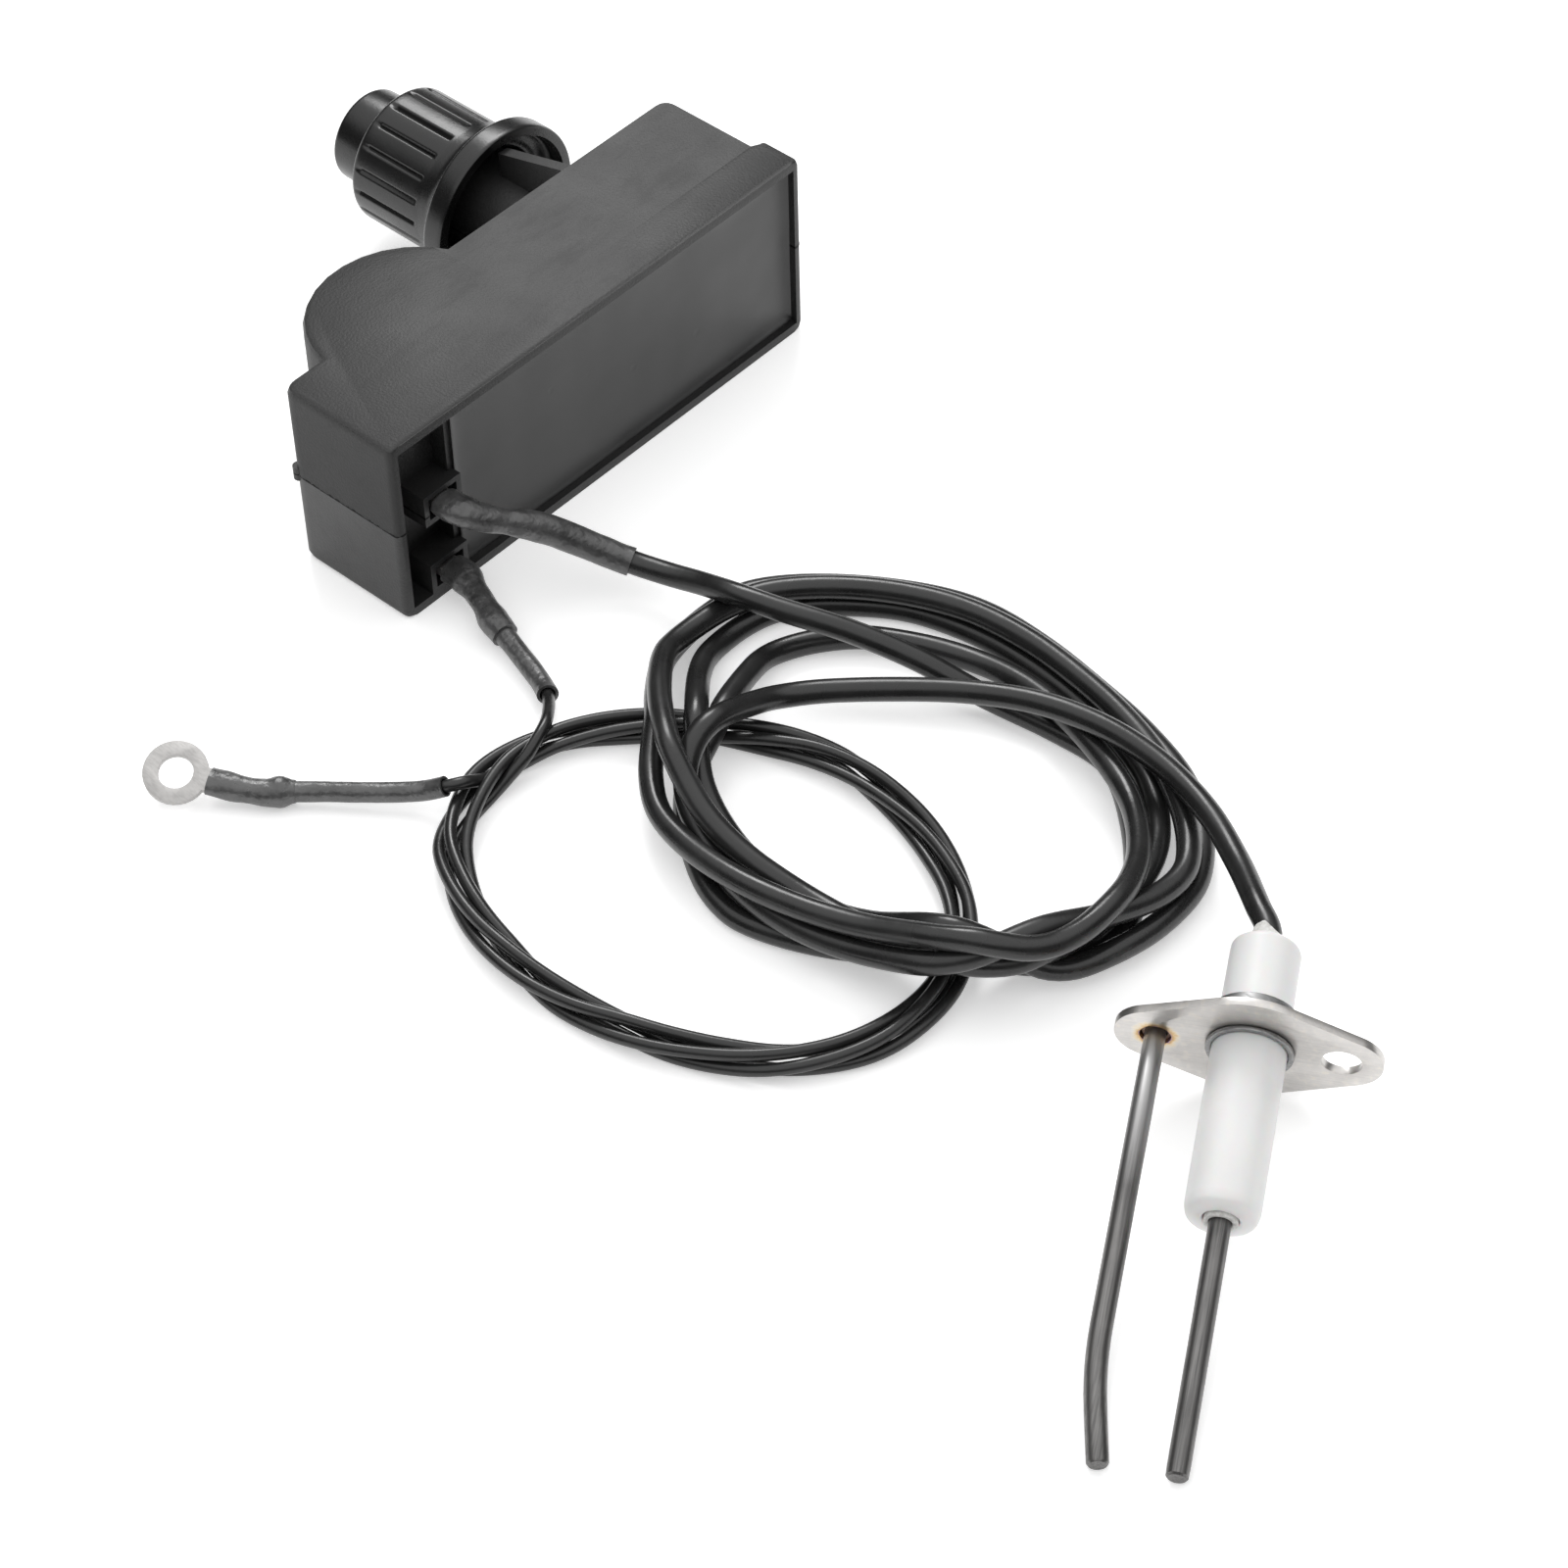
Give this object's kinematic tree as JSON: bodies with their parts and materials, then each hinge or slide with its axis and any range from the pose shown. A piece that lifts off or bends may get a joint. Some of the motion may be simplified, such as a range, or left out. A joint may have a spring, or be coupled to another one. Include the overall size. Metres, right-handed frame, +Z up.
{
  "type": "ignition electrode",
  "caption": "Battery spark igniter: black module with screwed push-button cap, coiled high-voltage lead to a flanged ceramic electrode, and an earth lead with a ring terminal.",
  "frame": {"origin": "centre of the module's base on the surface it stands on", "axes": "+Z up; +X along the module's long side, away from its terminals; +Y out of the battery neck towards the push button"},
  "size_m": [0.117, 0.2119, 0.028],
  "materials": {
    "black_plastic": "moulded, satin",
    "cap_plastic": "moulded, semi-gloss",
    "resin": "cast, glossy",
    "lead_rubber": "silicone, satin",
    "sleeve": "shrunk, satin",
    "board": "laminate",
    "winding": "enamelled copper wire",
    "component": "moulded",
    "tinned_brass": "tinned",
    "spring_steel": "drawn",
    "cell_jacket": "printed jacket",
    "white_ceramic": "fine, semi-gloss",
    "cement": "rough",
    "plated_steel": "pressed, satin",
    "rod_steel": "drawn, brushed",
    "weld": "heat tinted"
  },
  "bodies": {
    "module": {"housing": "black_plastic", "potting": "resin", "circuit_board": "board", "high_voltage_transformer": "winding", "charging_coil": "winding", "storage_capacitor": "component", "switching_transistor": "component", "high_voltage_tab": "tinned_brass", "earth_tab": "tinned_brass", "aaa_cell": "cell_jacket", "rear_contact_spring": "spring_steel", "contact_strip": "tinned_brass", "high_voltage_receptacle": "tinned_brass", "high_voltage_sleeve": "sleeve", "high_voltage_lead": "lead_rubber", "earth_receptacle": "tinned_brass", "earth_receptacle_sleeve": "sleeve", "earth_lead_sleeve": "sleeve", "earth_lead": "lead_rubber", "ring_terminal": "tinned_brass", "ring_terminal_sleeve": "sleeve", "ring_lead_sleeve": "sleeve", "flange_plate": "plated_steel", "ceramic_insulator": "white_ceramic", "upper_collar": "plated_steel", "lower_retaining_ring": "plated_steel", "spark_rod": "rod_steel", "crimp_ferrule": "tinned_brass", "earth_rod": "rod_steel", "weld_bead": "weld", "entry_cement": "cement", "exit_cement": "cement"},
    "cap_carrier": {"return_spring": "spring_steel"},
    "cap": {"ribbed_cap": "cap_plastic"},
    "button": {"push_button": "cap_plastic", "button_contact": "tinned_brass"}
  },
  "joints": [
    {"name": "cap_travel", "type": "slide", "parent": "module", "child": "cap_carrier", "axis": [0, 1, 0], "range_m": [0, 0.0141]},
    {"name": "cap_turn", "type": "hinge", "parent": "cap_carrier", "child": "cap", "pos_m": [0.0165, 0, 0.014], "axis": [0, 1, 0], "range_deg": [0, 3360]},
    {"name": "button_press", "type": "slide", "parent": "cap_carrier", "child": "button", "axis": [0, -1, 0], "range_m": [0, 0.003], "stiffness_N_per_m": 400, "springref_m": -0.002, "deforming": ["return_spring"]}
  ],
  "couplings": [
    {"joint": "cap_travel", "follows": "cap_turn", "m_per_rad": 0.00023873}
  ]
}
